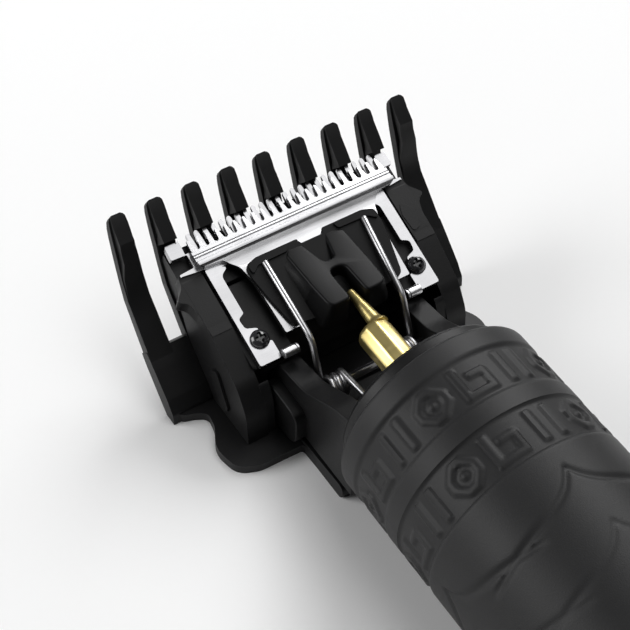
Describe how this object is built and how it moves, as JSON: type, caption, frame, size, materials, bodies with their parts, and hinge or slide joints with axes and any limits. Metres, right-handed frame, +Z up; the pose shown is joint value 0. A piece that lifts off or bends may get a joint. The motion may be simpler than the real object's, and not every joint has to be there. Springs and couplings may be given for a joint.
{
  "type": "hair clipper",
  "caption": "Cordless cylindrical T-blade hair trimmer with an eccentric-driven moving blade and a clip-on guide comb, lying on its skin side.",
  "frame": {"origin": "centre of the box that the whole trimmer with its comb fills, on the surface that it lies on", "axes": "+Y along the body towards the blades and comb tips, +X along the cutting edge, +Z up, away from the surface, with the moving blade on top"},
  "size_m": [0.0548, 0.16, 0.0332],
  "materials": {
    "shell_plastic": "fine matt moulded, near-black",
    "head_plastic": "satin moulded, near-black",
    "comb_plastic": "satin moulded, near-black",
    "follower_plastic": "satin moulded, near-black",
    "blade_steel": "ground and polished",
    "spring_steel": "bright drawn wire",
    "hub_brass": "turned and fluted",
    "dark_steel": "black oxide screws",
    "plain_steel": "plain",
    "motor_steel": "zinc plated",
    "magnet": "ferrite",
    "bronze": "sintered bronze",
    "board": "green solder mask",
    "cell_wrap": "shrink wrap",
    "nickel": "nickel strip",
    "chassis_plastic": "moulded",
    "seal_rubber": "soft",
    "socket_metal": "plated",
    "lens": "clear light pipe",
    "button_plastic": "semi-gloss"
  },
  "bodies": {
    "trimmer": {"battery_cell": "cell_wrap", "battery_tabs": "nickel", "blade_screws": "dark_steel", "body_shell": "shell_plastic", "charge_socket": "socket_metal", "circuit_board": "board", "end_cap": "shell_plastic", "end_cap_screws": "dark_steel", "fixed_blade": "blade_steel", "head_housing": "head_plastic", "head_screws": "dark_steel", "head_seal": "seal_rubber", "inner_chassis": "chassis_plastic", "locating_pins": "plain_steel", "motor_bushes": "bronze", "motor_can": "motor_steel", "motor_end_bell": "chassis_plastic", "motor_magnets": "magnet", "motor_screws": "plain_steel", "motor_terminals": "nickel", "spring_pin": "plain_steel", "status_lens": "lens", "switch_unit": "chassis_plastic", "torsion_spring": "spring_steel"},
    "switch": {"switch_button": "button_plastic"},
    "cam": {"motor_rotor": "plain_steel", "motor_shaft": "plain_steel", "eccentric_hub": "hub_brass"},
    "cutter": {"moving_blade": "blade_steel", "blade_follower": "follower_plastic", "follower_rivets": "plain_steel"},
    "comb": {"guide_comb": "comb_plastic"}
  },
  "joints": [
    {"name": "cam_turn", "type": "hinge", "parent": "trimmer", "child": "cam", "pos_m": [0, 0.04, 0.01755], "axis": [0, -1, 0], "range_deg": [-10.5, 90.5]},
    {"name": "blade_slide", "type": "slide", "parent": "trimmer", "child": "cutter", "axis": [1, 0, 0], "range_m": [-0.00186, 0.00021], "deforming": ["torsion_spring"]},
    {"name": "comb_slide", "type": "slide", "parent": "trimmer", "child": "comb", "axis": [0, 1, 0], "range_m": [0, 0.045]},
    {"name": "switch_slide", "type": "slide", "parent": "trimmer", "child": "switch", "axis": [0, 1, 0], "range_m": [0, 0.004]}
  ],
  "couplings": [
    {"joint": "cam_turn", "follows": "blade_slide", "rad_per_m": -843.67}
  ]
}
